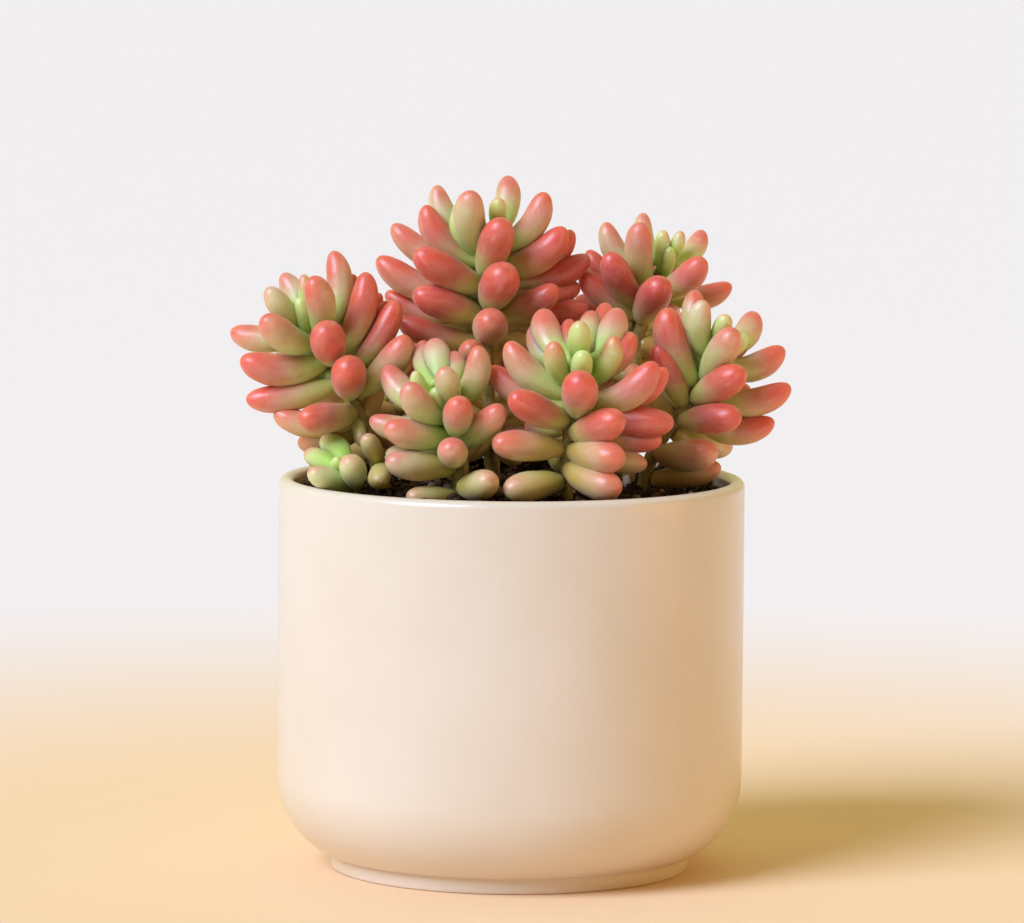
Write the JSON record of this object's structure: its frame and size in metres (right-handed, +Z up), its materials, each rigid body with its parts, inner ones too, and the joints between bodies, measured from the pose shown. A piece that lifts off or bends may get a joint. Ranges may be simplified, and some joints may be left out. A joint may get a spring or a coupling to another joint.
{
  "type": "potted jelly bean plant",
  "caption": "Jelly bean succulent with leafy shoots of plump bean-shaped leaves, growing in a round glazed pot with a rounded lower edge.",
  "frame": {"origin": "on the pot's axis, on the surface that the pot stands on", "axes": "+Z up along the pot's axis, -Y towards the front, +X to the right seen from the front"},
  "size_m": [0.1436, 0.12, 0.1773],
  "materials": {
    "glaze": "smooth satin cream glaze",
    "soil": "crumbly dark potting mix",
    "stem": "olive brown skin",
    "young_leaf": "waxy light green",
    "leaf": "waxy, coral red ends over yellow green",
    "old_leaf": "waxy olive with orange ends"
  },
  "bodies": {
    "root": {"back_left_shoot_heart": "young_leaf", "back_left_shoot_lower_leaves": "leaf", "back_left_shoot_middle_leaves": "leaf", "back_left_shoot_stem": "stem", "back_left_shoot_upper_leaves": "leaf", "back_middle_shoot_heart": "young_leaf", "back_middle_shoot_lower_leaves": "leaf", "back_middle_shoot_middle_leaves": "leaf", "back_middle_shoot_stem": "stem", "back_middle_shoot_upper_leaves": "leaf", "back_right_shoot_heart": "young_leaf", "back_right_shoot_lower_leaves": "leaf", "back_right_shoot_middle_leaves": "leaf", "back_right_shoot_stem": "stem", "back_right_shoot_upper_leaves": "leaf", "centre_shoot_heart": "young_leaf", "centre_shoot_lower_leaves": "leaf", "centre_shoot_middle_leaves": "leaf", "centre_shoot_single_leaf_1": "old_leaf", "centre_shoot_single_leaf_2": "old_leaf", "centre_shoot_stem": "stem", "centre_shoot_upper_leaves": "leaf", "front_shoot_heart": "young_leaf", "front_shoot_lower_leaves": "leaf", "front_shoot_middle_leaves": "leaf", "front_shoot_single_leaf_1": "old_leaf", "front_shoot_stem": "stem", "front_shoot_upper_leaves": "leaf", "left_shoot_heart": "young_leaf", "left_shoot_lower_leaves": "leaf", "left_shoot_middle_leaves": "leaf", "left_shoot_single_leaf_1": "old_leaf", "left_shoot_single_leaf_2": "old_leaf", "left_shoot_single_leaf_3": "old_leaf", "left_shoot_stem": "stem", "left_shoot_upper_leaves": "leaf", "pot": "glaze", "rear_right_shoot_heart": "young_leaf", "rear_right_shoot_lower_leaves": "leaf", "rear_right_shoot_middle_leaves": "leaf", "rear_right_shoot_stem": "stem", "rear_right_shoot_upper_leaves": "leaf", "right_shoot_heart": "young_leaf", "right_shoot_lower_leaves": "leaf", "right_shoot_middle_leaves": "leaf", "right_shoot_single_leaf_1": "old_leaf", "right_shoot_stem": "stem", "right_shoot_upper_leaves": "leaf", "small_shoot_leaves": "leaf", "small_shoot_stem": "stem", "soil": "soil", "top_shoot_heart": "young_leaf", "top_shoot_lower_leaves": "leaf", "top_shoot_middle_leaves": "leaf", "top_shoot_stem": "stem", "top_shoot_upper_leaves": "leaf"}
  },
  "joints": []
}
